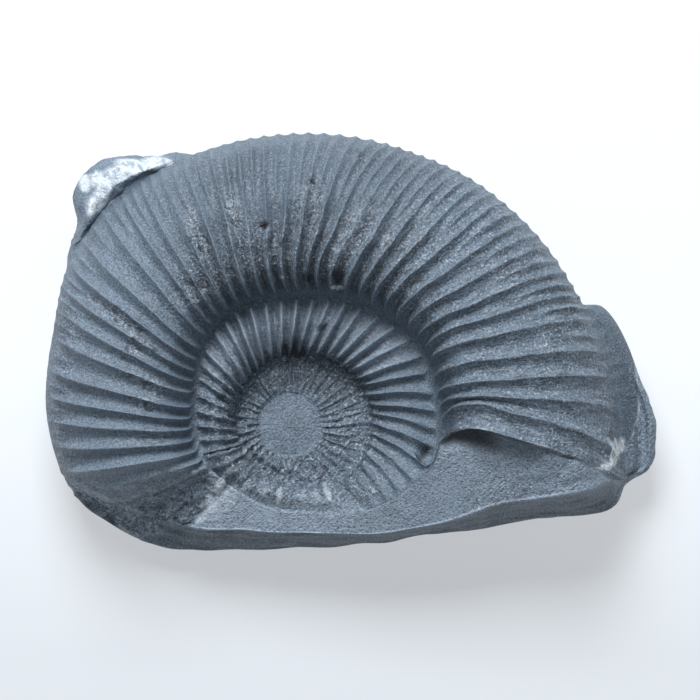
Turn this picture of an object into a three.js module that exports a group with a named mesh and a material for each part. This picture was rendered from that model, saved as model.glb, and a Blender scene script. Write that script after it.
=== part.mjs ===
// A ribbed black ammonite half out of its shale nodule and broken along the front: one solid stone.
// Millimetres, +Z up. The origin is on the resting plane, under the middle of the stone's outline.
import * as THREE from "three";
import { mergeVertices } from "three/addons/utils/BufferGeometryUtils.js";

// The coil has a frame of its own: X to the right, Y to the back, Z along its axis to the exposed flank.
// A bearing is in degrees about that axis, from the broken front (0) past the left (90), the back (180)
// and the right (270), which is the way the shell grew. A ring is a list of [bearing, value].
const coilTilt = 10; // degrees that the coil leans back in its nodule
const coilHeight = 11; // of the coil's centre over the resting plane
const originFromCoil = { x: 7.56, y: 12.22 }; // the middle of the outline, seen from the coil's centre

const discRadius = 4.5; // the plug of shale in the middle of the coil
const discOffset = { x: -1.5, y: 0 };
const innerSeam = [[0, 8.4], [45, 8], [90, 8.1], [180, 9.4], [270, 10.6], [315, 10.4]];
const outerSeam = [
  [0, 12.5], [40, 13], [74, 14.9], [100, 15.6], [116, 16.5], [130, 18], [150, 19.1], [180, 18.7],
  [210, 19.7], [236, 20.5], [256, 20], [283, 20.1], [300, 18], [325, 15.4],
];
const venter = [
  [0, 25], [60, 31], [76, 35.2], [93, 37.3], [109, 38.5], [125, 41.3], [141, 42.4], [174, 42.7],
  [200, 43.1], [216, 44], [244, 45], [256, 46.3], [272, 47.2], [282, 48.5], [300, 42], [330, 28],
];
const halfThickness = [[0, 10], [76, 10.4], [130, 11.4], [180, 12.2], [225, 13], [276, 13.4], [320, 12]];

// The outer whorl's section, from its seam to the venter: [share of its height, of half its thickness].
const whorlSection = [
  [0, 0.38], [0.07, 0.66], [0.19, 0.92], [0.38, 1], [0.6, 0.93], [0.8, 0.69], [0.93, 0.38], [1, 0],
];

// Along the front the outer whorl is gone. What is left is a smooth sloping bed of shale, which ends at
// a brink over the dark front face.
const shellShare = [[46, 0], [60, 0.12], [69, 0.6], [76, 1], [275.5, 1], [276.1, 0]];
const bed = { level: 8.06, riseToRight: 0.107, riseToBack: 0.23, rounding: 1.5 };
const splitEdge = { bearing: 46.5, width: 1.5, drop: 1, fadeFrom: 60, fadeTo: 72 };
const brink = [
  [0, 15.9], [25, 17.2], [47, 22.2], [60, 26], [71, 29.6], [80, 32], [180, 42], [274, 47], [280, 46.5],
  [281.5, 45], [287, 36.9], [291.6, 31.6], [302.6, 26.2], [316.7, 21.4], [344.6, 16.6],
];

// The nodule's own rim: a crusted lump stands out behind on the left and a smooth flange on the right.
const rim = [
  [0, 18.2], [20, 19.7], [38, 23.6], [52, 28.3], [60, 31], [68, 33.5], [76.5, 35.4], [93, 37], [109, 38.1],
  [122, 40.5], [128, 42.9], [133, 45.1], [134.5, 47.1], [137.7, 48.5], [142, 48.8], [145, 48.1],
  [148, 46.6], [152.5, 44.6], [157, 43.3], [161, 41.5], [200, 41], [230, 42.5], [246.5, 44.4],
  [248.5, 47.6], [251, 48.6], [255.5, 49.5], [262, 50.5], [266, 51.6], [271, 52.5], [274.5, 52.5],
  [277.5, 51.8], [279.5, 49.7], [281, 48.7], [283.5, 48.4], [285.5, 47.3], [289.7, 40.6], [293.4, 35.6],
  [301, 30.3], [308, 26.2], [320, 22.3], [337.5, 19.3],
];
const rimHeight = [
  [0, -3.4], [60, -3], [93, -4], [122, -5], [132, -4], [140, -3.4], [152, -3.6], [161, -7], [200, -8],
  [240, -8], [249, -4.6], [270, -4], [279, -4.2], [284, -3], [320, -3.2],
];
const grooveHeight = [[100, -2], [130, -3.4], [156, -3], [246, -1.2], [262, -2.2], [273, -3.2], [280, -2]];
const lumpHeight = [
  [120, -2], [134, -0.8], [146, -0.4], [156, -1], [246, -1.6], [262, -2], [272, -1.4], [280, -2],
];
const footShare = 0.76; // of the rim, where the underside meets the resting plane

// Ribs of the outer whorl: [number, bearing] of their crests at mid-flank. The last one ends in a ledge.
const ribCrests = [
  [-6, 36], [0, 71], [1, 76.9], [3, 89.1], [5, 100.5], [6, 107.6], [10, 128.5], [11, 135.2], [14, 149.7],
  [18, 171], [27, 219.2], [30, 236.6], [32, 246.7], [33, 253.2], [36, 269.3], [37, 275.5], [44, 315],
];
const lastRib = 37;
const ribPitch = 5.6; // degrees, roughly, where the ribs are broken away
const ribHeight = 0.95; // from furrow to crest
const forkShare = [[60, 0.86], [125, 0.8], [165, 0.5], [225, 0.6], [250, 0.7], [262, 0.9]]; // of the height
const venterRibs = [[60, 0], [105, 0.06], [135, 0.55], [250, 0.6], [268, 0.2]]; // strength out there

// Ribs of the second whorl, which are worn off at the front.
const innerRib = { perRib: 0.8, height: 0.7 }; // perRib: to one rib of the outer whorl
const innerRibs = [[25, 0], [55, 1], [318, 1], [335, 0]]; // strength

// A rib's course: the degrees that it leans forwards, and the share of that at each station.
const ribLean = [
  [0, 0], [50, 2], [70, 3.5], [170, 4], [200, 7], [225, 8], [246, 9], [253, 8.5], [259, 6.5], [264, 8],
  [269.3, 14], [276, 9], [290, 0],
];
const leanCourse = [
  [1, 0], [3, -0.5], [5.7, 0.5], [6.6, -0.3], [7.5, -0.5], [8.2, -0.45], [9, -0.22], [10, 0],
  [11.5, 0.26], [13, 0.45], [17, 0],
]; // [station, share]

// The grid: columns run along the ribs, and rows from the middle of the coil to that of the underside.
const stations = { innerSeam: 3, outerSeam: 6, venter: 13, last: 19 };
const columnsPerRib = 4;
const frontColumns = [[276.1, 1], [290, 2.2], [323, 5.8]]; // [from bearing, degrees apart], to the ribs
const rowsPerStation = [1, 1, 1, 1, 2, 2, 2, 2, 2, 2, 2, 1, 1, 1, 1, 1, 1, 1, 1];

const radians = THREE.MathUtils.degToRad;
const mix = THREE.MathUtils.lerp;
const smooth = (x, from, to) => THREE.MathUtils.smoothstep(x, from, to);

// A smooth curve through [x, value] points that never swings past them.
function along(points, x) {
  const last = points.length - 1;
  if (x <= points[0][0]) return points[0][1];
  if (x >= points[last][0]) return points[last][1];
  const i = points.findIndex((p) => p[0] > x) - 1;
  const slope = (k) => (points[k + 1][1] - points[k][1]) / (points[k + 1][0] - points[k][0]);
  const tangent = (k) => {
    if (k === 0 || k === last || slope(k - 1) * slope(k) <= 0) return 0;
    return (2 * slope(k - 1) * slope(k)) / (slope(k - 1) + slope(k));
  };
  const width = points[i + 1][0] - points[i][0];
  const t = (x - points[i][0]) / width;
  const rise = points[i + 1][1] - points[i][1];
  const bow = t * (1 - t) * width * (tangent(i) * (1 - t) - tangent(i + 1) * t);
  const turn = t * (1 - t) * (1 - 2 * t) * rise;
  return points[i][1] + rise * t + bow - turn;
}

// The same round a whole turn.
function around(ring, bearing) {
  const [firstBearing, firstValue] = ring[0];
  const [endBearing, endValue] = ring[ring.length - 1];
  const closed = [[endBearing - 360, endValue], ...ring, [firstBearing + 360, firstValue]];
  return along(closed, THREE.MathUtils.euclideanModulo(bearing, 360));
}

function planOf(bearing, radius) {
  return { x: -radius * Math.sin(radians(bearing)), y: -radius * Math.cos(radians(bearing)) };
}

// Height of the resting plane in the coil's frame.
function floorAt(bearing, radius) {
  const { y } = planOf(bearing, radius);
  return -(coilHeight + y * Math.sin(radians(coilTilt))) / Math.cos(radians(coilTilt));
}

// Height of the broken bed, which never stands above the whorl that it cuts.
function bedAt(bearing, radius, seam, crown, thickness) {
  const { x, y } = planOf(bearing, radius);
  const slope = bed.level + bed.riseToRight * x + bed.riseToBack * y;
  const share = Math.max((radius - seam) / (crown - seam), 0.38);
  const turned = THREE.MathUtils.euclideanModulo(bearing, 360);
  const split =
    smooth(turned, splitEdge.bearing, splitEdge.bearing + splitEdge.width) *
    (1 - smooth(turned, splitEdge.fadeFrom, splitEdge.fadeTo));
  const whorl = thickness * along(whorlSection, share);
  const rounded = Math.max(bed.rounding - Math.abs(slope - whorl), 0) ** 2 / (4 * bed.rounding);
  return Math.min(slope, whorl) - rounded - splitEdge.drop * split;
}

// The section at a bearing: [radius, height] at each station, from the middle of the coil to that of the
// underside. The share says how much of the outer whorl is still there.
function sectionAt(bearing, share) {
  const seam2 = around(innerSeam, bearing);
  const seam1 = around(outerSeam, bearing);
  const crown = around(venter, bearing);
  const thickness = around(halfThickness, bearing);
  const edge = around(brink, bearing);
  const rimRadius = around(rim, bearing);
  const rimZ = around(rimHeight, bearing);
  const seamHeight = thickness * whorlSection[0][1];
  const points = [
    [0, 1],
    [discRadius, 0.6],
    [mix(discRadius, seam2, 0.55), 1.1],
    [seam2, 1],
    [mix(seam2, seam1, 0.25), 4.2],
    [mix(seam2, seam1, 0.6), 5.6],
    [seam1, mix(bedAt(bearing, seam1, seam1, crown, thickness) - 0.9, seamHeight, share)],
  ];
  const flank = whorlSection.slice(1);
  flank.forEach(([across, up], i) => {
    const onBed = mix(seam1 + 0.5, edge, i / (flank.length - 1));
    const broken = bedAt(bearing, onBed, seam1, crown, thickness);
    points.push([mix(onBed, mix(seam1, crown, across), share), mix(broken, thickness * up, share)]);
  });
  const [edgeRadius, edgeZ] = points[stations.venter];
  const overhang = rimRadius - edgeRadius;
  const groove = share * smooth(overhang, 0, 3);
  const grooveZ = mix(mix(edgeZ, rimZ, 0.4), around(grooveHeight, bearing), groove);
  const lumpZ = mix(mix(edgeZ, rimZ, 0.8), around(lumpHeight, bearing), groove);
  points.push([edgeRadius + overhang * mix(0.3, 0.1, groove), grooveZ]);
  points.push([edgeRadius + overhang * mix(0.75, 0.33, groove), lumpZ]);
  points.push([rimRadius, rimZ]);
  points.push([rimRadius * 0.95, mix(rimZ, floorAt(bearing, rimRadius), 0.6)]);
  const foot = rimRadius * footShare;
  points.push([foot, floorAt(bearing, foot)]);
  points.push([0, floorAt(bearing, 0)]);
  return points;
}

// A point of the plain section between two stations, on a curve through all of them.
function onSection(points, station) {
  const k = Math.min(Math.floor(station), stations.last - 1);
  const t = station - k;
  const at = (i) => points[THREE.MathUtils.clamp(i, 0, stations.last)];
  const pull = 0.36;
  return [0, 1].map((axis) => {
    const [before, from, to, after] = [at(k - 1), at(k), at(k + 1), at(k + 2)].map((p) => p[axis]);
    const leave = pull * (to - before);
    const arrive = pull * (after - from);
    const ease = t * t * (3 - 2 * t);
    return mix(from, to, ease) + t * (1 - t) * (leave * (1 - t) - arrive * t);
  });
}

// How far a sharp rib between round furrows stands up, from -0.5 to 0.5. Crests are at whole numbers.
function ribWave(phase) {
  return 0.5 - Math.abs(Math.sin(Math.PI * phase));
}

// Relief of both ribbed whorls, along the surface's normal.
function ribRelief(bearing, rib, station, share) {
  if (station > stations.outerSeam) {
    const across = (station - stations.outerSeam) / (stations.venter - stations.outerSeam);
    const fork = smooth(across, along(forkShare, bearing) - 0.12, along(forkShare, bearing) + 0.12);
    const wave = mix(ribWave(rib), 0.7 * ribWave(2 * rib), fork);
    const onFlank = smooth(across, 0.06, 0.25);
    const overVenter = mix(1, along(venterRibs, bearing), smooth(across, 0.8, 0.95));
    const below = 1 - smooth(station, stations.venter, stations.venter + 1);
    return ribHeight * share * wave * onFlank * overVenter * below;
  }
  const across = (station - stations.innerSeam) / (stations.outerSeam - stations.innerSeam);
  const fresh = along(innerRibs, THREE.MathUtils.euclideanModulo(bearing, 360));
  const band = smooth(across, 0.1, 0.4) * (1 - smooth(across, 0.9, 1));
  return innerRib.height * band * fresh * ribWave(rib * innerRib.perRib);
}

// Columns of the grid, each with its bearing at mid-flank and its rib number.
function gridColumns() {
  const columns = [];
  const lastBearing = along(ribCrests, lastRib);
  for (let i = 0; i <= lastRib * columnsPerRib; i++) {
    const rib = i / columnsPerRib;
    columns.push({ bearing: along(ribCrests, rib), rib });
  }
  const firstRib = columns[0].bearing + 360;
  frontColumns.forEach(([from, apart], i) => {
    const to = i + 1 < frontColumns.length ? frontColumns[i + 1][0] : firstRib;
    const count = Math.round((to - from) / apart);
    for (let k = 0; k < count; k++) {
      const bearing = mix(from, to, k / count);
      columns.push({ bearing, rib: lastRib + (bearing - lastBearing) / ribPitch });
    }
  });
  return columns;
}

function gridRows() {
  const rows = [0];
  rowsPerStation.forEach((count, station) => {
    for (let k = 1; k <= count; k++) rows.push(station + k / count);
  });
  return rows;
}

// Where a column meets a row, in the coil's frame.
function coilPoint(column, station) {
  const lean = around(ribLean, column.bearing) * along(leanCourse, station);
  const bearing = column.bearing + lean;
  const share = along(shellShare, THREE.MathUtils.euclideanModulo(column.bearing, 360));
  const section = sectionAt(bearing, share);
  const [radius, height] = onSection(section, station);
  const step = 0.05;
  const [radiusBefore, heightBefore] = onSection(section, Math.max(station - step, 0));
  const [radiusAfter, heightAfter] = onSection(section, Math.min(station + step, stations.last));
  const length = Math.hypot(radiusAfter - radiusBefore, heightAfter - heightBefore);
  const relief = ribRelief(bearing, column.rib, station, share);
  const outwards = (heightBefore - heightAfter) / length;
  const upwards = (radiusAfter - radiusBefore) / length;
  const plan = planOf(bearing, radius + relief * outwards);
  const inDisc = 1 - smooth(station, 1, stations.outerSeam);
  return new THREE.Vector3(
    plan.x + discOffset.x * inDisc,
    plan.y + discOffset.y * inDisc,
    height + relief * upwards,
  );
}

// The stone: a ball's grid carried on to the fossil, then stood on its resting plane.
function fossilGeometry() {
  const columns = gridColumns();
  const rows = gridRows();
  const ball = new THREE.SphereGeometry(1, columns.length, rows.length - 1);
  const places = ball.getAttribute("position");
  const across = columns.length + 1;
  for (let i = 0; i < places.count; i++) {
    const column = columns[(across - 1 - (i % across)) % columns.length];
    const point = coilPoint(column, rows[Math.floor(i / across)]);
    places.setXYZ(i, point.x, point.y, point.z);
  }
  ball.rotateX(radians(coilTilt));
  ball.translate(-originFromCoil.x, -originFromCoil.y, coilHeight);
  for (let i = 0; i < places.count; i++) {
    if (places.getZ(i) < 0.05) places.setZ(i, 0);
  }
  ball.deleteAttribute("normal");
  ball.deleteAttribute("uv");
  const closed = mergeVertices(ball, 1e-3);
  closed.computeVertexNormals();
  return closed;
}

const shale = new THREE.MeshStandardMaterial({ color: 0x4a5058, roughness: 0.7, metalness: 0 });
shale.name = "shale";
const fossil = new THREE.Mesh(fossilGeometry(), shale);
fossil.name = "ammonite_fossil";

const part = new THREE.Group();
part.name = "ammonite";
part.add(fossil);

export default part;
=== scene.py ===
import bpy
import bmesh
import math
import numpy as np
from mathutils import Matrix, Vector


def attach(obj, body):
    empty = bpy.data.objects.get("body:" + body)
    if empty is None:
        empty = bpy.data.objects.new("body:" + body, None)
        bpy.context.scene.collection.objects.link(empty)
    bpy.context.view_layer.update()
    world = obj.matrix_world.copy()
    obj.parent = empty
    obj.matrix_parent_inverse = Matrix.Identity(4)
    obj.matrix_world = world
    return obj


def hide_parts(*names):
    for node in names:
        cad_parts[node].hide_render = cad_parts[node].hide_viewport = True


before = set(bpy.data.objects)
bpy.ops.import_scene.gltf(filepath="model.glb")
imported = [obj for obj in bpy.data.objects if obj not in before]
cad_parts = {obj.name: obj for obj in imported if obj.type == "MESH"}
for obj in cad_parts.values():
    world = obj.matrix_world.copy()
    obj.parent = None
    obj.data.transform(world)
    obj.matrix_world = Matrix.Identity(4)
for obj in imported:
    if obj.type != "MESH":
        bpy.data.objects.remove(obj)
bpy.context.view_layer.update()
print("frame loaded:", list(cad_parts))

mm = 0.001

# the coil's own frame: u to the right, v to the back, w along its axis to the exposed flank, all in mm
# bearings run from the broken front (0) by the left (90) and the back (180) to the right (270)
coil = {
    "tilt": 10,
    "height": 11,
    "origin": (7.56, 12.22),
    "discRadius": 4.5,
    "discOffset": (-1.5, 0),
    "innerSeam": [(0, 8.4), (45, 8), (90, 8.1), (180, 9.4), (270, 10.6), (315, 10.4)],
    "outerSeam": [(0, 12.5), (40, 13), (74, 14.9), (100, 15.6), (116, 16.5), (130, 18), (150, 19.1),
                  (180, 18.7), (210, 19.7), (236, 20.5), (256, 20), (283, 20.1), (300, 18), (325, 15.4)],
    "venter": [(0, 25), (60, 31), (76, 35.2), (93, 37.3), (109, 38.5), (125, 41.3), (141, 42.4),
               (174, 42.7), (200, 43.1), (216, 44), (244, 45), (256, 46.3), (272, 47.2), (282, 48.5),
               (300, 42), (330, 28)],
    "halfThickness": [(0, 10), (76, 10.4), (130, 11.4), (180, 12.2), (225, 13), (276, 13.4), (320, 12)],
    # share of the whorl's height, share of half its thickness
    "section": [(0, 0.38), (0.07, 0.66), (0.19, 0.92), (0.38, 1), (0.6, 0.93), (0.8, 0.69), (0.93, 0.38),
                (1, 0)],
}

# the broken front: a sloping bed of shale with a brink, and the nodule's rim below it
nodule = {
    "shellShare": [(46, 0), (60, 0.12), (69, 0.6), (76, 1), (275.5, 1), (276.1, 0)],
    "bedLevel": 8.06, "bedRiseRight": 0.107, "bedRiseBack": 0.23, "bedRounding": 1.5,
    "splitBearing": 46.5, "splitWidth": 1.5, "splitDrop": 1, "splitFade": (60, 72),
    "brink": [(0, 15.9), (25, 17.2), (47, 22.2), (60, 26), (71, 29.6), (80, 32), (180, 42), (274, 47),
              (280, 46.5), (281.5, 45), (287, 36.9), (291.6, 31.6), (302.6, 26.2), (316.7, 21.4),
              (344.6, 16.6)],
    "rim": [(0, 18.2), (20, 19.7), (38, 23.6), (52, 28.3), (60, 31), (68, 33.5), (76.5, 35.4), (93, 37),
            (109, 38.1), (122, 40.5), (128, 42.9), (133, 45.1), (134.5, 47.1), (137.7, 48.5), (142, 48.8),
            (145, 48.1), (148, 46.6), (152.5, 44.6), (157, 43.3), (161, 41.5), (200, 41), (230, 42.5),
            (246.5, 44.4), (248.5, 47.6), (251, 48.6), (255.5, 49.5), (262, 50.5), (266, 51.6), (271, 52.5),
            (274.5, 52.5), (277.5, 51.8), (279.5, 49.7), (281, 48.7), (283.5, 48.4), (285.5, 47.3),
            (289.7, 40.6), (293.4, 35.6), (301, 30.3), (308, 26.2), (320, 22.3), (337.5, 19.3)],
    "rimHeight": [(0, -3.4), (60, -3), (93, -4), (122, -5), (132, -4), (140, -3.4), (152, -3.6), (161, -7),
                  (200, -8), (240, -8), (249, -4.6), (270, -4), (279, -4.2), (284, -3), (320, -3.2)],
    "grooveShare": [(100, 0.1), (200, 0.1), (244, 0.45), (256, 0.6), (280, 0.64)],
    "grooveHeight": [(100, -2), (130, -1.7), (156, -1.7), (246, -1), (258, -2), (268, -3), (280, -2.6)],
    "lumpShare": [(100, 0.33), (200, 0.33), (244, 0.8), (280, 0.84)],
    "lumpHeight": [(120, -2), (134, -0.8), (146, -0.4), (156, -1), (246, -2), (258, -2.6), (268, -1.9),
                   (280, -2)],
    "footShare": 0.76, "sideShare": 0.95, "seamDrop": 0.1,
}

# ribs: number and bearing of the outer whorl's crests at mid-flank; the last one ends in a ledge
ribs = {
    "bearing": [(-6, 36), (0, 71), (1, 76.9), (3, 89.1), (5, 100.5), (6, 107.6), (10, 128.5), (11, 135.2),
                (14, 149.7), (18, 171), (27, 219.2), (30, 236.6), (32, 246.7), (33, 253.2), (36, 269.3),
                (37, 275.5), (44, 315)],
    "last": 37,
    "pitch": 5.6,  # degrees from rib to rib in front of the ledge
    "height": 1.0,
    "strength": [(67, 1.15), (105, 1.1), (130, 1), (152, 1.2), (180, 1.3), (205, 1.2), (218, 1.05),
                 (250, 1), (278, 1.05)],
    "wornBack": [(6, 1), (8, 1), (9, 0.9), (11, 0.9), (12, 0.8), (13, 0.75)],
    "fork": [(60, 0.86), (125, 0.8), (165, 0.6), (225, 0.62), (250, 0.7), (262, 0.9)],
    "overVenter": [(60, 0), (105, 0.06), (135, 0.4), (250, 0.4), (268, 0.15)],
    "innerPerRib": 0.73, "innerHeight": 1.0, "heartPerRib": 0.6, "heartHeight": 0.3,
    "innerStrength": [(25, 0.1), (55, 0.45), (95, 0.65), (120, 1.0), (150, 1.5), (200, 1.4), (240, 1),
                      (318, 1), (335, 0.1)],
    "lean": [(0, 0), (50, 2), (70, 3.5), (170, 4), (182, 7), (193, 11), (204, 9), (225, 8), (246, 9),
             (253, 8.5), (259, 6.5), (264, 8), (269.3, 14), (276, 9), (290, 0)],
    "ledgeArch": [(262, 0), (275.5, 1), (290, 0)],
    "archCourse": [(4.6, 0), (6, 8), (7, 3.5), (8, 0.4), (8.6, 0)],
    "leanCourse": [(1, 0), (3, -0.5), (5.7, 0.5), (6.6, -0.3), (7.5, -0.5), (8.2, -0.45), (9, -0.22), (10, 0),
                   (11.5, 0.26), (13, 0.45), (17, 0)],
    "innerLean": [(40, 4), (140, 6), (205, 4), (226, 8), (260, 12), (290, 14), (320, 12)],
}

# the mesh: columns follow the ribs, rows go from the middle of the coil to that of the underside
grid = {
    "ribColumns": [0, 0.035, 0.09, 0.18, 0.3, 0.4, 0.465, 0.5, 0.535, 0.6, 0.7, 0.82, 0.91, 0.965],
    "frontColumns": [(0, 276.1), (0.3, 290), (1, 431)],
    "frontCount": 130,
    "rows": [3, 6, 7, 7, 7, 9, 9, 10, 10, 12, 11, 9, 8, 7, 6, 5, 4, 3, 2],
}
# stations along a section: 0 the middle, 1 the disc's edge, 3 and 6 the seams between whorls, 7 the wall,
# 8 the shoulder, 9 the flank's top, 13 the outer edge or the brink, 14 the groove, 16 the rim, 18 the foot
innerSeamStation, outerSeamStation, venterStation, lastStation = 3, 6, 13, 19


def courseAt(points, x):
    # smooth curve through the points that never swings past them
    px = np.array([p[0] for p in points], float)
    pv = np.array([p[1] for p in points], float)
    x = np.clip(x, px[0], px[-1])
    i = np.clip(np.searchsorted(px, x, side="right") - 1, 0, len(px) - 2)
    width = np.diff(px)
    slope = np.diff(pv) / width
    agree = slope[:-1] * slope[1:]
    tangent = np.zeros(len(px))
    tangent[1:-1] = np.where(agree > 0, 2 * agree / np.where(agree > 0, slope[:-1] + slope[1:], 1), 0)
    t = (x - px[i]) / width[i]
    rise = pv[i + 1] - pv[i]
    bow = t * (1 - t) * width[i] * (tangent[i] * (1 - t) - tangent[i + 1] * t)
    return pv[i] + rise * t + bow - t * (1 - t) * (1 - 2 * t) * rise


def ringAt(ring, bearing):
    closed = [(ring[-1][0] - 360, ring[-1][1])] + list(ring) + [(ring[0][0] + 360, ring[0][1])]
    return courseAt(closed, np.mod(bearing, 360))


def smoothStep(x, low, high):
    t = np.clip((x - low) / (high - low), 0, 1)
    return t * t * (3 - 2 * t)


def fadeOut(x, low, high):
    return 1 - smoothStep(x, low, high)


def bandOf(x, low, lowFull, highFull, high):
    # rises from low to lowFull, falls from highFull to high
    return smoothStep(x, low, lowFull) * fadeOut(x, highFull, high)


def blendOf(a, b, t):
    return a + (b - a) * t


def noiseOn(place, size, seed):
    # smooth noise from -1 to 1, one wave about twice its size long
    p = np.asarray(place, float) / size + seed * 17.31
    cell = np.floor(p).astype(np.int64)
    t = p - cell
    t = t * t * (3 - 2 * t)
    total = 0
    for i in range(8):
        corner = np.array([i & 1, i >> 1 & 1, i >> 2 & 1])
        at = cell + corner
        mix = at[..., 0] * 73856093 ^ at[..., 1] * 19349663 ^ at[..., 2] * 83492791
        mix = (mix ^ mix >> 13) * 1274126177 & 0x7fffffff
        mix = (mix ^ mix >> 16) * 668265263 & 0x7fffffff
        weight = np.prod(np.where(corner == 1, t, 1 - t), axis=-1)
        total = total + weight * (mix / 0x40000000 - 1)
    return total


def floorAt(bearing, radius):
    back = -radius * np.cos(np.radians(bearing))
    tilt = math.radians(coil["tilt"])
    return -(coil["height"] + back * math.sin(tilt)) / math.cos(tilt)


def bedAt(bearing, radius, seam, crown, thickness):
    u = -radius * np.sin(np.radians(bearing))
    v = -radius * np.cos(np.radians(bearing))
    slope = nodule["bedLevel"] + nodule["bedRiseRight"] * u + nodule["bedRiseBack"] * v
    whorl = thickness * courseAt(coil["section"], np.maximum((radius - seam) / (crown - seam), 0.38))
    rounding = nodule["bedRounding"]
    rounded = np.maximum(rounding - np.abs(slope - whorl), 0) ** 2 / (4 * rounding)
    turned = np.mod(bearing, 360)
    split = smoothStep(turned, nodule["splitBearing"], nodule["splitBearing"] + nodule["splitWidth"])
    split = split * (1 - smoothStep(turned, *nodule["splitFade"]))
    return np.minimum(slope, whorl) - rounded - nodule["splitDrop"] * split


def sectionAt(bearing, share):
    # radius and height at each station, from the middle of the coil to that of the underside
    seam2 = ringAt(coil["innerSeam"], bearing)
    seam1 = ringAt(coil["outerSeam"], bearing)
    crown = ringAt(coil["venter"], bearing)
    thickness = ringAt(coil["halfThickness"], bearing)
    edge = ringAt(nodule["brink"], bearing)
    rim = ringAt(nodule["rim"], bearing)
    rimHeight = ringAt(nodule["rimHeight"], bearing)
    disc = coil["discRadius"]
    flat = np.ones_like(bearing)
    points = [
        (0 * flat, 1 * flat),
        (disc * flat, 0.6 * flat),
        (blendOf(disc, seam2, 0.55), 1.1 * flat),
        (seam2, 1 * flat),
        (blendOf(seam2, seam1, 0.25), 4.2 * flat),
        (blendOf(seam2, seam1, 0.6), 5.6 * flat),
        (seam1, blendOf(bedAt(bearing, seam1, seam1, crown, thickness) - nodule["seamDrop"],
                        thickness * coil["section"][0][1], share)),
    ]
    flank = coil["section"][1:]
    for across, up in flank:
        onBed = blendOf(seam1 + 0.5, edge, (across - flank[0][0]) / (1 - flank[0][0]))
        broken = bedAt(bearing, onBed, seam1, crown, thickness)
        points.append((blendOf(onBed, blendOf(seam1, crown, across), share),
                       blendOf(broken, thickness * up, share)))
    edgeRadius, edgeHeight = points[venterStation]
    overhang = rim - edgeRadius
    groove = share * smoothStep(overhang, 0, 3)
    inGroove = blendOf(blendOf(edgeHeight, rimHeight, 0.4), ringAt(nodule["grooveHeight"], bearing), groove)
    onLump = blendOf(blendOf(edgeHeight, rimHeight, 0.8), ringAt(nodule["lumpHeight"], bearing), groove)
    grooveShare, lumpShare = ringAt(nodule["grooveShare"], bearing), ringAt(nodule["lumpShare"], bearing)
    points.append((edgeRadius + overhang * blendOf(0.3, grooveShare, groove), inGroove))
    points.append((edgeRadius + overhang * blendOf(0.75, lumpShare, groove), onLump))
    points.append((rim, rimHeight))
    points.append((rim * nodule["sideShare"], blendOf(rimHeight, floorAt(bearing, rim), 0.6)))
    foot = rim * nodule["footShare"]
    points.append((foot, floorAt(bearing, foot)))
    points.append((0 * flat, floorAt(bearing, 0 * flat)))
    return points


def onSection(points, station):
    k = min(int(station), lastStation - 1)
    t = station - k
    placed = []
    for axis in (0, 1):
        before, start, end, after = [points[min(max(k + d, 0), lastStation)][axis] for d in (-1, 0, 1, 2)]
        leave = 0.36 * (end - before)
        arrive = 0.36 * (after - start)
        swing = t * (1 - t) * (leave * (1 - t) - arrive * t)
        placed.append(blendOf(start, end, t * t * (3 - 2 * t)) + swing)
    return placed


def ribWave(phase):
    # keen crests at whole numbers, round furrows between them
    return 0.55 - np.sqrt(np.sin(math.pi * phase) ** 2 + 0.008)


def layColumns():
    rib = np.add.outer(np.arange(ribs["last"]), grid["ribColumns"]).ravel()
    rib = np.append(rib, ribs["last"])
    bearing = courseAt(ribs["bearing"], rib)
    front = courseAt(grid["frontColumns"], np.arange(grid["frontCount"] - 1) / (grid["frontCount"] - 1))
    return np.append(bearing, front), np.append(rib, ribs["last"] + (front - bearing[-1]) / ribs["pitch"])


def layRows():
    rows = [0.0]
    for station, count in enumerate(grid["rows"]):
        rows += [station + (k + 1) / count for k in range(count)]
    return np.array(rows)


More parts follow.
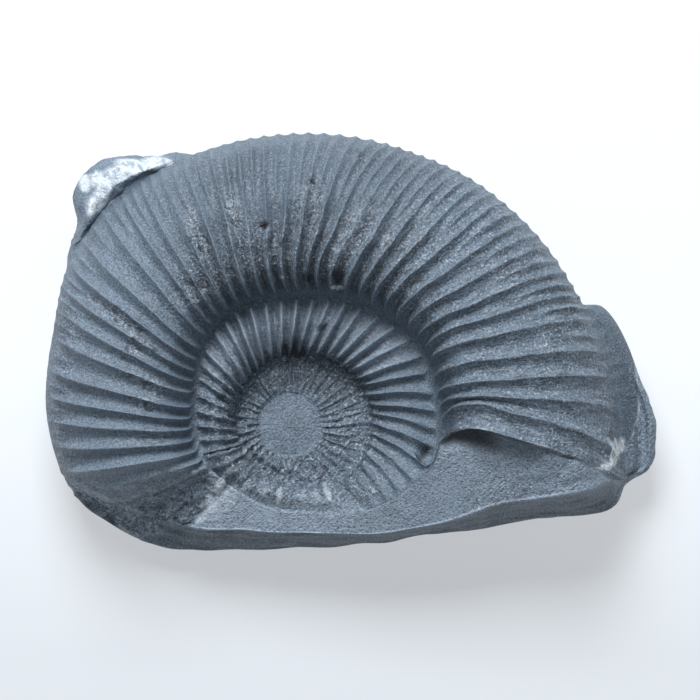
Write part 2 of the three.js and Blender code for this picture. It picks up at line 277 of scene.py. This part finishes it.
def layStone():
    # every point of the grid in the coil's frame, with the ribs' height kept for the finish
    columnBearing, columnRib = layColumns()
    rows = layRows()
    share = courseAt(nodule["shellShare"], np.mod(columnBearing, 360))
    shape = (len(rows), len(columnBearing))
    place, crest, shell = np.zeros(shape + (3,)), np.zeros(shape), np.zeros(shape)
    turn, reach = np.zeros(shape), np.zeros(shape)
    for row, station in enumerate(rows):
        lean = ringAt(ribs["lean"], columnBearing) * courseAt(ribs["leanCourse"], station)
        lean = lean + ringAt(ribs["ledgeArch"], columnBearing) * courseAt(ribs["archCourse"], station)
        # each rib wanders a little and differs in height from the next
        lane = np.stack([columnRib * 0.5, np.full_like(columnRib, station * 0.55), 0 * columnRib], axis=1)
        worn = bandOf(columnBearing, 136, 152, 206, 222)
        uneven = 1 + (0.25 + 0.3 * worn) * noiseOn(lane * (1, 0.5, 1), 0.6, 6)
        wander = (0.4 + 0.4 * worn) * bandOf(station, outerSeamStation, 7.5, 12, venterStation)
        bearing = columnBearing + lean + wander * share * noiseOn(lane, 1, 5)
        points = sectionAt(bearing, share)
        radius, height = onSection(points, station)
        r0, h0 = onSection(points, max(station - 0.05, 0))
        r1, h1 = onSection(points, min(station + 0.05, lastStation))
        length = np.hypot(r1 - r0, h1 - h0)
        turned = np.mod(bearing, 360)
        if station > outerSeamStation:
            across = (station - outerSeamStation) / (venterStation - outerSeamStation)
            fork = courseAt(ribs["fork"], turned)
            fork = smoothStep(across, fork - 0.12, fork + 0.12)
            wave = blendOf(ribWave(columnRib), 0.7 * ribWave(2 * columnRib), fork)
            overVenter = blendOf(1, courseAt(ribs["overVenter"], turned), smoothStep(across, 0.8, 0.95))
            below = fadeOut(station, venterStation, venterStation + 1)
            band = share * smoothStep(across, 0.0, 0.13) * overVenter * below
            worn = blendOf(1, courseAt(ribs["wornBack"], station), worn)
            relief = ribs["height"] * courseAt(ribs["strength"], turned) * worn * uneven * wave * band
            # the last rib flattens to its outer end
            relief = relief * (1 - smoothStep(columnRib, 36.2, 36.9) * smoothStep(station, 9, 10.3))
            shell[row] = share * below
        else:
            across = (station - innerSeamStation) / (outerSeamStation - innerSeamStation)
            band = bandOf(across, 0, 0.3, 0.93, 1) * courseAt(ribs["innerStrength"], turned)
            ahead = ringAt(ribs["innerLean"], turned) * (across - 0.6) / ribs["pitch"]
            wander = 0.07 * noiseOn(lane, 1, 5)
            wave = ribWave((columnRib + wander - ahead + lean / ribs["pitch"]) * ribs["innerPerRib"])
            relief = ribs["innerHeight"] * band * uneven * wave
        crest[row] = wave * band
        turn[row] = turned
        reach[row] = radius
        radius = radius + relief * (h0 - h1) / length
        inDisc = fadeOut(station, 1, outerSeamStation)
        place[row, :, 0] = -radius * np.sin(np.radians(bearing)) + coil["discOffset"][0] * inDisc
        place[row, :, 1] = -radius * np.cos(np.radians(bearing)) + coil["discOffset"][1] * inDisc
        place[row, :, 2] = height + relief * (r1 - r0) / length
    station = np.repeat(rows[:, None], shape[1], axis=1)
    # the ledge dies out to the right, where the bed comes up to the last rib
    last = int(np.searchsorted(columnRib, ribs["last"]))
    flush = bandOf(station, 9.5, 10.7, 12.7, 13) * (columnRib > ribs["last"])
    flush = flush * fadeOut(columnRib, ribs["last"], ribs["last"] + 2)
    place[:, :, 2] += flush * np.clip(place[:, last, 2] - place[:, last + 1, 2], 0, 1.5)[:, None]
    return place, {"crest": crest, "shell": shell, "bearing": turn, "station": station, "reach": reach,
                   "rib": np.repeat(columnRib[None], shape[0], axis=0)}


# marks in plan, in mm from the coil's centre: right, back, half length, half width, turn in degrees,
# strength; for a pit that is also its depth in mm
marks = {
    "flakes": [(-21.3, -2.2, 3.2, 0.8, 0, 0.8), (-23.4, 3.2, 3.7, 1.1, -12, 1), (-22, 5.6, 3.8, 1.4, -22, 1),
               (-25.2, 14.6, 6.5, 1.3, -40, 0.9), (-24, 10.9, 1.6, 1.2, -30, 0.9),
               (-15.7, 30.3, 3.6, 1.1, -68, 0.8), (-14.4, 26.5, 4.2, 1.1, -62, 1),
               (-9.6, 30.4, 3, 1.2, -82, 0.9), (-14, 20.5, 6, 1.8, 32, 0.9),
               (1.2, 31, 6.8, 2.2, 85, 0.6), (8.2, 29, 5.5, 3, 60, 0.6), (14.7, 27, 5.5, 3.4, 45, 0.55),
               (-4, 26, 5, 1.6, 5, 0.7), (9, 38.5, 1.6, 1, -40, 0.8)],
    "pits": [(-5.15, 28.97, 0.65, 0.5, 15, 0.9), (5.44, 21.6, 1.25, 1.0, 60, 0.6),
             (1.2, 21.5, 0.9, 0.7, 0, 0.5), (1.76, 35.4, 0.7, 0.35, 0, 0.6), (-0.8, 11.2, 2.4, 1.9, 10, 0.45),
             (18.2, -4.2, 1.5, 0.7, 55, 0.5),
             (8.6, 39.7, 0.7, 0.3, -45, 0.4), (3.2, 14.2, 0.9, 0.6, 20, 0.4)],
    "calcite": [(-26.5, 37, 6, 1.7, 20, 1), (-29.4, 33.7, 3.6, 1.4, 62, 1), (-21.5, 38.6, 3.4, 1.1, 4, 0.9),
                (-31.6, 35.4, 1.5, 1.3, 40, 0.9), (46.2, -4.3, 0.9, 2.0, -12, 1.2),
                (45, -6.2, 1.0, 0.7, 30, 1.2), (47.3, -3.2, 0.5, 1.5, 0, 0.9),
                (45.4, -2.6, 0.5, 0.9, 30, 0.7), (5.5, 20, 1.2, 0.35, 0, 0.9),
                (-2.7, 21.5, 0.5, 0.2, 0, 0.7)],
    "streaks": [(-12.8, -10.6, 5, 0.8, 58, 0.62), (-11.2, -11.4, 4.2, 1.6, 45, 0.34),
                (-3, -10.8, 1.9, 0.45, 80, 0.6), (4, -9.8, 1.8, 0.4, -70, 0.6),
                (-5.5, -10.3, 1.4, 0.5, 60, 0.4), (0.5, -10.4, 1.2, 0.5, 85, 0.35),
                (2.5, -10.6, 1.2, 0.4, -80, 0.4)],
}


def markAt(place, spots, ragged=0.25):
    # how far each point lies inside the marks, with uneven outlines
    wobble = ragged * noiseOn(place, 0.9, 11) + ragged * noiseOn(place, 2.2, 12)
    total = np.zeros(place.shape[:2])
    for u, v, long, short, turn, strength in spots:
        du, dv = place[:, :, 0] - u, place[:, :, 1] - v
        c, s = math.cos(math.radians(turn)), math.sin(math.radians(turn))
        reach = np.hypot((du * c + dv * s) / long, (dv * c - du * s) / short) + wobble
        inside = strength * fadeOut(reach, 0.6, 1.1) * (place[:, :, 2] > -6)
        total = np.maximum(total, inside)
    return total


def outwardOf(place):
    # unit normals of the grid, by the difference to its neighbours
    along = np.roll(place, -1, 1) - np.roll(place, 1, 1)
    down = np.gradient(place, axis=0)
    normal = np.cross(along, down)
    return normal / np.maximum(np.linalg.norm(normal, axis=2, keepdims=True), 1e-9)


# how much each part of the stone takes of a tone, from 0 to 1
tones = {
    "rough": {"skin": 0.2, "right": 0.5, "backInner": 0.45, "leftEdge": 0.4, "patchy": 0.25, "coil": 0.8,
              "coilBack": -0.45, "flake": 0.8, "disc": 0.28, "lobe": 0.6, "bed": (0.4, 0.3)},
    # painted shade: the front face, the umbilical wall and the inner basin are darkened where they lie in
    # shade; the back zone, the lump and the flange's plane are darkened too
    "dark": {"front": 0.5, "back": 0.1, "wall": 0.15, "basin": 0.5, "lump": 0.1, "flange": 0.35},
    # painted shade in the furrows between the ribs at the back, in whorl 2 and at the shoulder
    "furrow": {"back": 0.6, "whorl": 0.4, "shoulder": 0.8},
    # the whorl entry is painted light that lightens whorl 2's top where the wall's shadow falls on it
    "pale": {"bedRight": 0.6, "disc": 0.14, "lobe": 0.35, "whorl": 0.85, "lump": 0.3, "plates": 0.9},
    # painted shade in the pits, in the gap behind the lump and under the ledge
    "hollowShade": {"gap": 0.12, "underLedge": 0.65},
    "calcite": {"streak": 0.8, "flangeLine": 0.3, "ledge": 0.45, "lip": 0.2},
    # the flange's pale line in plan: mm to the back, mm to the right
    "flangeLine": [(-8, 46), (-3, 48), (-1.3, 49.2), (3, 50), (9, 49.4), (15, 49)],
}


def maskStone(place, ways):
    # where the stone is rough, pale, dark, or carries calcite
    turn, station, shell, rib = ways["bearing"], ways["station"], ways["shell"], ways["rib"]
    coarse = noiseOn(place, 3.5, 21)
    patch = markAt(place, marks["flakes"], 0.35)
    lip = bandOf(patch, 0.08, 0.3, 0.35, 0.7) * (shell > 0.5)
    patch = patch * (shell > 0.5)

    # the outer whorl
    flank = bandOf(station, 6.6, 7.4, 12.7, 13.1) * shell
    rightSide = smoothStep(turn, 196, 222)
    backInner = smoothStep(turn, 118, 140) * fadeOut(station, 8.9, 9.6) * (1 - rightSide)
    leftEdge = fadeOut(turn, 112, 128) * smoothStep(station, 10.7, 11.8)
    backZone = bandOf(turn, 136, 152, 200, 216) * smoothStep(station, 8.2, 9)
    shoulder = bandOf(turn, 132, 150, 214, 232) * bandOf(station, 6.1, 6.6, 8.2, 9.2)
    wall = bandOf(station, 5.75, 6.15, 7.0, 7.9) * shell * smoothStep(turn, 120, 150)
    furrow = np.clip((0.15 - ways["crest"]) / 0.6, 0, 1)
    ledge = bandOf(rib, 36.9, 36.99, 37.0, 37.05) * bandOf(station, 6.7, 7.2, 10.2, 10.8)
    underLedge = bandOf(rib, 37.0, 37.05, 37.35, 38.1) * bandOf(station, 6.7, 7.6, 8.4, 9.4)

    # the inner whorls, worn on the left and in front
    inner = bandOf(station, 0.97, 1.12, 5.5, 6.6)
    innerBack = smoothStep(turn, 120, 160) * smoothStep(station, 3.4, 4.2)
    wornCoil = np.maximum(fadeOut(turn, 110, 150), smoothStep(turn, 285, 320))
    wornCoil = wornCoil * inner * fadeOut(station, 4.8, 6.2)
    whorl = bandOf(station, 3.4, 4, 5.5, 6) * bandOf(turn, 105, 135, 225, 250)
    basin = bandOf(station, 1.2, 1.8, 3.2, 4.4) * bandOf(turn, 120, 160, 225, 260)
    disc = fadeOut(station + 0.22 * noiseOn(place, 0.8, 22), 0.8, 1.0)

    # the broken front
    onBed = (1 - shell) * bandOf(station, 6.3, 6.9, 12.8, 13.05)
    facet = onBed * bandOf(turn, 47, 48.5, 74, 80)
    bed = onBed * (1 - facet)
    facet = np.maximum(facet, bandOf(station, 12.9, 13.1, 15.3, 16) * bandOf(turn, 49, 55, 72, 82))
    onWhorl = smoothStep(station + 0.5 * noiseOn(place, 1.3, 23), 4.2, 6.2) * fadeOut(station, 6.6, 7)
    bed = np.maximum(bed, onWhorl * (1 - shell) * np.maximum(turn < 44, turn > 322))
    plates = facet * smoothStep(noiseOn(place, 1.1, 24) + 0.5 * noiseOn(place, 0.5, 25), -0.1, 0.6)

    # the nodule's side: flange with its lobe, front face, lump and the gap behind it
    flange = smoothStep(station, 13.05, 13.3) * (turn > 244) * (turn < 284)
    line = place[:, :, 0] - courseAt(tones["flangeLine"], place[:, :, 1])
    lobe = flange * smoothStep(line, -0.15, 0.2)
    flangeLine = flange * np.exp(-(line / 0.22) ** 2) * (place[:, :, 1] > -2) * (place[:, :, 1] < 9.5)
    front = smoothStep(station, 13.02, 13.3) * (1 - flange) * np.maximum(turn > 280, turn < 75)
    front = front * (1 - 0.8 * facet)
    lump = bandOf(turn + 4 * coarse, 110, 120, 152, 166)
    gap = lump * bandOf(station, 13.1, 13.6, 14.25, 14.6)
    lump = lump * smoothStep(station, 13.8, 14.3)

    share = tones["rough"]
    onFlank = share["skin"] + share["right"] * rightSide + share["backInner"] * backInner
    onFlank = onFlank + share["leftEdge"] * leftEdge + share["patchy"] * coarse
    inCoil = share["coil"] + share["coilBack"] * innerBack + share["patchy"] * coarse
    rough = np.maximum.reduce([
        flank * onFlank, inner * inCoil, wornCoil, facet, bed * (share["bed"][0] + share["bed"][1] * coarse),
        share["flake"] * patch, share["disc"] * disc, share["lobe"] * lobe])
    # painted shade on the front face, the wall and the basin, with the back zone, the lump and the flange's
    # plane darkened too
    share = tones["dark"]
    dark = np.maximum.reduce([
        share["front"] * front, share["back"] * backZone, share["wall"] * wall, share["basin"] * basin,
        share["lump"] * lump, share["flange"] * (flange - lobe)])
    # painted shade: the furrows at the back, in whorl 2 and at the shoulder are darkened
    share = tones["furrow"]
    dark = np.maximum(dark, furrow * np.maximum.reduce([
        share["back"] * backZone, share["whorl"] * whorl, share["shoulder"] * shoulder]))
    # pale also paints light on whorl 2's top, which lies in the wall's shadow
    share = tones["pale"]
    pale = np.maximum.reduce([
        bed * blendOf(1, share["bedRight"], smoothStep(place[:, :, 0], 2, 18)), share["disc"] * disc,
        share["lobe"] * lobe, share["whorl"] * whorl, share["lump"] * lump * (station < 16),
        share["plates"] * plates])
    # painted shade: the pits, the gap behind the lump and the hollow under the ledge are darkened
    share = tones["hollowShade"]
    hollowShade = np.maximum.reduce([
        markAt(place, marks["pits"], 0.2), share["gap"] * gap, share["underLedge"] * underLedge])
    share = tones["calcite"]
    calcite = np.maximum.reduce([
        markAt(place, marks["calcite"]), share["streak"] * markAt(place, marks["streaks"], 0.35),
        share["flangeLine"] * flangeLine,
        share["ledge"] * ledge * smoothStep(noiseOn(place, 0.8, 31), -0.4, 0.4),
        share["lip"] * lip * smoothStep(noiseOn(place, 0.7, 32), -0.3, 0.5)])
    painted = {"rough": rough, "dark": dark, "pale": pale, "hollowShade": hollowShade, "calcite": calcite,
               "flaked": patch}
    painted = {name: np.clip(mask, 0, 1) for name, mask in painted.items()}
    painted["crest"] = ways["crest"]
    shaped = {"lip": lip, "facet": facet, "front": front, "wornCoil": wornCoil, "lump": lump,
              "underLedge": underLedge}
    return painted, shaped


# heights of the weathering, in mm
wear = {
    "swell": 0.12, "wave": 0.07, "flaky": 0.1, "grit": 0.08, "lanes": 0.13, "lip": 0.14, "flaked": 0.16,
    "facet": (0.7, 0.45), "coil": (0.22, 0.12), "front": 0.3, "lump": (0.45, 0.2), "streak": 0.25,
    "underLedge": 0.5, "heart": 0.2,
    # the crack in the bed: mm to the right, half width, ends in mm to the back, depth
    "crack": {"right": 12.6, "width": 0.18, "ends": (-15.6, -12.2), "depth": 0.2},
}
# the streaky skin: mm of it to a rib, and how far it is stretched along the rib
ribLanes = {"outer": 2.8, "inner": 1.5, "along": 0.35}


def weather(place, painted, shaped, ways):
    # uneven stone: broad waves, grain you could feel, flakes, pits and a crack in the bed
    rough, station = painted["rough"], ways["station"]
    flaky = 0.6 - np.abs(noiseOn(place, 0.95, 3)) - np.abs(noiseOn(place, 1.7, 4))
    move = wear["swell"] * noiseOn(place, 7, 1) + wear["wave"] * noiseOn(place, 2.4, 2) * (0.4 + rough)
    lanes = np.stack([ways["rib"] * ribLanes["outer"], ways["reach"] * ribLanes["along"], 0 * rough], axis=2)
    move = move + rough * (wear["flaky"] * flaky + wear["grit"] * noiseOn(place, 0.5, 7))
    move = move + wear["lanes"] * rough * noiseOn(lanes, 0.7, 15)
    move = move + wear["lip"] * shaped["lip"] - wear["flaked"] * painted["flaked"]
    broad, small = wear["facet"]
    move = move + shaped["facet"] * (broad * noiseOn(place, 1.6, 8) + small * noiseOn(place, 0.7, 16))
    broad, small = wear["coil"]
    move = move + shaped["wornCoil"] * (broad * noiseOn(place, 0.8, 17) + small * flaky)
    layers = place * (0.25, 0.25, 1.6)  # the front shows the shale's bedding
    move = move + wear["front"] * shaped["front"] * noiseOn(layers, 1, 9)
    broad, small = wear["lump"]
    move = move + shaped["lump"] * (broad * noiseOn(place, 1.9, 10) + small * noiseOn(place, 0.8, 13))
    move = move + wear["streak"] * markAt(place, marks["streaks"], 0.35)
    move = move - wear["underLedge"] * shaped["underLedge"]
    crack = wear["crack"]
    off = place[:, :, 0] - crack["right"] - 0.12 * noiseOn(place, 0.8, 14)
    inReach = (place[:, :, 1] > crack["ends"][0]) * (place[:, :, 1] < crack["ends"][1])
    move = move - crack["depth"] * np.exp(-(off / crack["width"]) ** 2) * inReach * painted["pale"]
    heart = bandOf(station, 1.0, 1.35, 2.8, 3.4)
    wave = ribs["heartHeight"] * ribWave(ways["rib"] * ribs["heartPerRib"])
    move = move + heart * (wave + wear["heart"] * flaky)
    sunk = np.zeros_like(move)
    for u, v, long, short, turn, depth in marks["pits"]:
        sunk = sunk + depth * markAt(place, [(u, v, long, short, turn, 1)], 0.2)
    move = move * fadeOut(station, 16.5, 18)  # the foot stays flat
    return place + outwardOf(place) * move[:, :, None] - sunk[:, :, None] * (0, 0, 1)


def lanesOf(place, ways):
    # where the skin's streaks run: along the ribs, or slanting where the ribs are gone
    along = ways["rib"] * np.where(ways["station"] > outerSeamStation, ribLanes["outer"], ribLanes["inner"])
    ribbed = np.stack([along, ways["reach"], 0 * along], axis=2)
    u, v, w = place[:, :, 0], place[:, :, 1], place[:, :, 2]
    slanting = np.stack([u - v, u + v, w], axis=2)
    bare = (ways["bearing"] < 44) | (ways["bearing"] > 322) | (ways["station"] < 3.3)
    bare = bare | (ways["shell"] < 0.3) & (ways["station"] > 6.3)
    return np.where(bare[:, :, None], slanting, ribbed)


def makeStone():
    place, ways = layStone()
    painted, shaped = maskStone(place, ways)
    place = weather(place, painted, shaped, ways)
    tilt = math.radians(coil["tilt"])
    x = place[:, :, 0] - coil["origin"][0]
    y = place[:, :, 1] * math.cos(tilt) - place[:, :, 2] * math.sin(tilt) - coil["origin"][1]
    z = place[:, :, 1] * math.sin(tilt) + place[:, :, 2] * math.cos(tilt) + coil["height"]
    world = np.stack([x, y, np.maximum(z, 0)], axis=2) * mm
    world[0] = world[0].mean(axis=0)
    world[-1] = world[-1].mean(axis=0)
    bm = bmesh.new()
    bmesh.ops.create_uvsphere(bm, u_segments=place.shape[1], v_segments=place.shape[0] - 1, radius=1)
    mesh = bpy.data.meshes.new("ammoniteStone")
    bm.to_mesh(mesh)
    bm.free()
    ball = np.empty(len(mesh.vertices) * 3)
    mesh.vertices.foreach_get("co", ball)
    ball = ball.reshape(-1, 3)
    # each point of the ball takes the place of its row and column
    down = np.arccos(np.clip(ball[:, 2], -1, 1)) / math.pi
    about = -np.arctan2(ball[:, 1], ball[:, 0]) / (2 * math.pi)
    row = np.rint(down * (place.shape[0] - 1)).astype(int)
    column = np.rint(about * place.shape[1]).astype(int) % place.shape[1]
    mesh.vertices.foreach_set("co", world[row, column].ravel())
    for name, mask in painted.items():
        layer = mesh.attributes.new(name, "FLOAT", "POINT")
        layer.data.foreach_set("value", mask[row, column].astype(np.float32))
    lane = mesh.attributes.new("lane", "FLOAT_VECTOR", "POINT")
    lane.data.foreach_set("vector", lanesOf(place, ways)[row, column].ravel().astype(np.float32))
    mesh.shade_smooth()
    mesh.update()
    stone = bpy.data.objects.new("ammoniteStone", mesh)
    bpy.context.scene.collection.objects.link(stone)
    triangles = sum(len(p.vertices) - 2 for p in mesh.polygons)
    print("stone:", len(mesh.vertices), "points,", triangles, "triangles")
    return stone


def linearOf(hexColour):
    parts = [int(hexColour[i:i + 2], 16) / 255 for i in (1, 3, 5)]
    return tuple(c / 12.92 if c <= 0.04045 else ((c + 0.055) / 1.055) ** 2.4 for c in parts) + (1,)


def addNode(tree, kind, inputs, **settings):
    node = tree.nodes.new(kind)
    for name, value in settings.items():
        setattr(node, name, value)
    for socket, value in inputs.items():
        if isinstance(value, bpy.types.NodeSocket):
            tree.links.new(value, node.inputs[socket])
        else:
            node.inputs[socket].default_value = value
    return node


# black shale: a fine mud rock, matt with a faint satin sheen, blue-black, paler and dusty where it split
# along its bedding, with a flaky, glinting skin where the shell wore off; calcite is the white crust on it
shaleFinish = {
    "plain": "#637483", "pale": "#98a8b8", "deep": "#2a3037", "worn": "#8c98a4", "speck": "#d3dde6",
    "shade": "#22272c", "brown": "#5b5249", "calcite": "#dbe4ec", "cream": "#dcdccf",
    # sizes in mm
    "grain": 0.28, "dots": 0.42, "flake": 1.3, "mottle": 4.5, "stain": 12,
    "streakAcross": 0.42, "streakAlong": 2.6,
    "sheen": 0.7, "roughness": (0.46, 0.66), "relief": 0.5,
    # colour, pattern, where it begins and is full, most it covers, and the mask that it keeps to
    "layers": [
        # the pale layer also holds painted light on whorl 2's top
        ("pale", "pale", 0, 1, 1.0, None),
        ("brown", "stain", 0.5, 0.75, 0.15, None),
        # the darkened places take the shade colour: painted shade on the front face, the wall, the basin and
        # in the furrows
        ("shade", "dark", 0, 1, 0.92, None),
        ("deep", "mottle", 0.48, 0.3, 0.25, None),
        ("deep", "streak", 0.48, 0.36, 0.75, "rough"),
        ("worn", "streak", 0.53, 0.66, 0.7, "rough"),
        ("deep", "dots", 0.46, 0.34, 0.75, "rough"),
        ("speck", "dots", 0.59, 0.68, 0.75, "rough"),
        ("worn", "crest", 0.34, 0.5, 0.42, None),
        ("deep", "grain", 0.5, 0.3, 0.65, None),
        ("worn", "grain", 0.52, 0.7, 0.65, None),
        ("deep", "flake", 0.5, 0.38, 0.6, "flaked"),
        ("speck", "edge", 0.035, 0.01, 0.35, "flaked"),
        # painted shade fills the pits, the gap behind the lump and the hollow under the ledge
        ("shade", "hollowShade", 0.05, 0.7, 1.0, None),
    ],
}


def makeShale():
    shale = bpy.data.materials.new("blackShale")
    shale.use_nodes = True
    tree = shale.node_tree
    surface = tree.nodes["Principled BSDF"]
    surface.inputs["Specular IOR Level"].default_value = shaleFinish["sheen"]
    colours = {name: linearOf(value) for name, value in shaleFinish.items() if isinstance(value, str)}
    where = addNode(tree, "ShaderNodeTexCoord", {}).outputs["Object"]
    pattern = {}
    for name in ("crest", "rough", "flaked", "dark", "hollowShade", "calcite", "pale"):
        pattern[name] = addNode(tree, "ShaderNodeAttribute", {}, attribute_name=name).outputs["Fac"]
    noises = [("grain", 2, 0), ("dots", 2, 0), ("flake", 3, 0.8), ("mottle", 3, 0), ("stain", 2, 0)]
    for name, detail, bend in noises:
        pattern[name] = addNode(tree, "ShaderNodeTexNoise", {
            "Vector": where, "Scale": 1 / (shaleFinish[name] * mm), "Detail": detail, "Roughness": 0.6,
            "Distortion": bend}).outputs["Fac"]
    # streaks along the ribs, where the skin lifted
    lane = addNode(tree, "ShaderNodeAttribute", {}, attribute_name="lane").outputs["Vector"]
    stretch = (1 / shaleFinish["streakAcross"], 1 / shaleFinish["streakAlong"], 1)
    lane = addNode(tree, "ShaderNodeVectorMath", {0: lane, 1: stretch}, operation="MULTIPLY").outputs[0]
    pattern["streak"] = addNode(tree, "ShaderNodeTexNoise", {
        "Vector": lane, "Scale": 1.0, "Detail": 3, "Distortion": 0.5}).outputs["Fac"]
    # edges of the flakes: thin wandering lines
    edge = addNode(tree, "ShaderNodeMath", {0: pattern["flake"], 1: 0.5}, operation="SUBTRACT").outputs[0]
    pattern["edge"] = addNode(tree, "ShaderNodeMath", {0: edge}, operation="ABSOLUTE").outputs[0]

    base = colours["plain"]
    for colour, name, begin, full, most, kept in shaleFinish["layers"]:
        cover = addNode(tree, "ShaderNodeMapRange", {
            "Value": pattern[name], "From Min": begin, "From Max": full, "To Max": most}).outputs[0]
        if kept:
            cover = addNode(tree, "ShaderNodeMath", {
                0: cover, 1: pattern[kept]}, operation="MULTIPLY").outputs[0]
        base = addNode(tree, "ShaderNodeMix", {
            0: cover, 6: base, 7: colours[colour]}, data_type="RGBA").outputs[2]
    # calcite: bluish white, cream where it is thick
    thick = addNode(tree, "ShaderNodeMapRange", {
        "Value": pattern["calcite"], "From Min": 0.7, "From Max": 0.95}).outputs[0]
    yellow = addNode(tree, "ShaderNodeMapRange", {
        "Value": pattern["stain"], "From Min": 0.45, "From Max": 0.6}).outputs[0]
    yellow = addNode(tree, "ShaderNodeMath", {0: thick, 1: yellow}, operation="MULTIPLY").outputs[0]
    crystal = addNode(tree, "ShaderNodeMix", {
        0: yellow, 6: colours["calcite"], 7: colours["cream"]}, data_type="RGBA").outputs[2]
    crust = addNode(tree, "ShaderNodeMapRange", {
        "Value": pattern["calcite"], "From Min": 0.1, "From Max": 0.75}).outputs[0]
    gaps = addNode(tree, "ShaderNodeMapRange", {
        "Value": pattern["flake"], "From Min": 0.36, "From Max": 0.56, "To Min": 0.25}).outputs[0]
    crust = addNode(tree, "ShaderNodeMath", {0: crust, 1: gaps}, operation="MULTIPLY").outputs[0]
    base = addNode(tree, "ShaderNodeMix", {0: crust, 6: base, 7: crystal}, data_type="RGBA").outputs[2]
    tree.links.new(base, surface.inputs["Base Color"])

    # relief: fine grain everywhere, flakes and streaks where it is rough
    fine = addNode(tree, "ShaderNodeMath", {0: pattern["grain"], 1: 0.5}, operation="MULTIPLY").outputs[0]
    coarse = addNode(tree, "ShaderNodeMath", {0: pattern["dots"], 1: pattern["streak"]}).outputs[0]
    bare = addNode(tree, "ShaderNodeMapRange", {
        "Value": pattern["rough"], "To Min": 0.06, "To Max": 0.7}).outputs[0]
    height = addNode(tree, "ShaderNodeMath", {
        0: coarse, 1: bare, 2: fine}, operation="MULTIPLY_ADD").outputs[0]
    bump = addNode(tree, "ShaderNodeBump", {
        "Height": height, "Strength": 0.9, "Distance": shaleFinish["relief"] * mm}).outputs["Normal"]
    tree.links.new(bump, surface.inputs["Normal"])
    gloss = addNode(tree, "ShaderNodeMapRange", {
        "Value": pattern["flake"], "From Min": 0.3, "From Max": 0.7, "To Min": shaleFinish["roughness"][0],
        "To Max": shaleFinish["roughness"][1]}).outputs[0]
    tree.links.new(gloss, surface.inputs["Roughness"])
    print("shale made")
    return shale


# the studio: a floor that glows white, which is painted light that lifts the stone's shadow on it, a broad
# soft light from behind and a weak fill
studio = {
    "elevation": 80, "distance": 1.0, "frameWidth": 102.94, "aim": (-0.21, -1.49, 12.89),
    # the floor's glow is painted light: it lifts the stone's shadow and grows towards the back
    "floorColour": "#9b9fa3", "floorSize": 4.0, "floorGlow": (0.43, 0.62), "floorGlowColour": "#f4f7fa",
    "keyPlace": (-0.1, 0.46, 0.59), "keySize": 0.4, "keyPower": 7.9, "keyColour": "#f8fbff",
    "fill": "#e6edf5", "fillStrength": 0.36,
}


def makeStudio():
    scene = bpy.context.scene
    lens = bpy.data.cameras.new("camera")
    lens.sensor_width = 36
    lens.lens = 36 * studio["distance"] / (studio["frameWidth"] * mm)
    lens.clip_end = 50
    camera = bpy.data.objects.new("camera", lens)
    scene.collection.objects.link(camera)
    up = math.radians(studio["elevation"])
    aim = Vector(studio["aim"]) * mm
    camera.location = aim + Vector((0, -math.cos(up), math.sin(up))) * studio["distance"]
    camera.rotation_euler = (math.pi / 2 - up, 0, 0)
    scene.camera = camera

    bm = bmesh.new()
    bmesh.ops.create_grid(bm, x_segments=2, y_segments=2, size=studio["floorSize"] / 2)
    mesh = bpy.data.meshes.new("floor")
    bm.to_mesh(mesh)
    bm.free()
    floor = bpy.data.objects.new("floor", mesh)
    scene.collection.objects.link(floor)
    paint = bpy.data.materials.new("glowingBoard")
    paint.use_nodes = True
    board = paint.node_tree.nodes["Principled BSDF"]
    board.inputs["Base Color"].default_value = linearOf(studio["floorColour"])
    board.inputs["Roughness"].default_value = 0.8
    board.inputs["Emission Color"].default_value = linearOf(studio["floorGlowColour"])
    # painted light: the floor's glow grows brighter towards the back, where the light is
    where = addNode(paint.node_tree, "ShaderNodeTexCoord", {}).outputs["Object"]
    back = addNode(paint.node_tree, "ShaderNodeSeparateXYZ", {0: where}).outputs["Y"]
    glow = addNode(paint.node_tree, "ShaderNodeMapRange", {
        "Value": back, "From Min": -0.045, "From Max": 0, "To Min": studio["floorGlow"][0],
        "To Max": studio["floorGlow"][1]}).outputs[0]
    paint.node_tree.links.new(glow, board.inputs["Emission Strength"])
    mesh.materials.append(paint)

    key = bpy.data.lights.new("key", "AREA")
    key.size = studio["keySize"]
    key.energy = studio["keyPower"]
    key.color = linearOf(studio["keyColour"])[:3]
    lamp = bpy.data.objects.new("key", key)
    scene.collection.objects.link(lamp)
    lamp.location = studio["keyPlace"]
    lamp.rotation_euler = (-Vector(studio["keyPlace"])).to_track_quat("-Z", "Y").to_euler()

    world = bpy.data.worlds.new("studio")
    scene.world = world
    world.use_nodes = True
    world.node_tree.nodes["Background"].inputs["Color"].default_value = linearOf(studio["fill"])
    world.node_tree.nodes["Background"].inputs["Strength"].default_value = studio["fillStrength"]
    scene.view_settings.view_transform = "Standard"
    print("studio set")


stone = makeStone()
stone.data.materials.append(makeShale())
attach(stone, "root")
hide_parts("ammonite_fossil")
makeStudio()
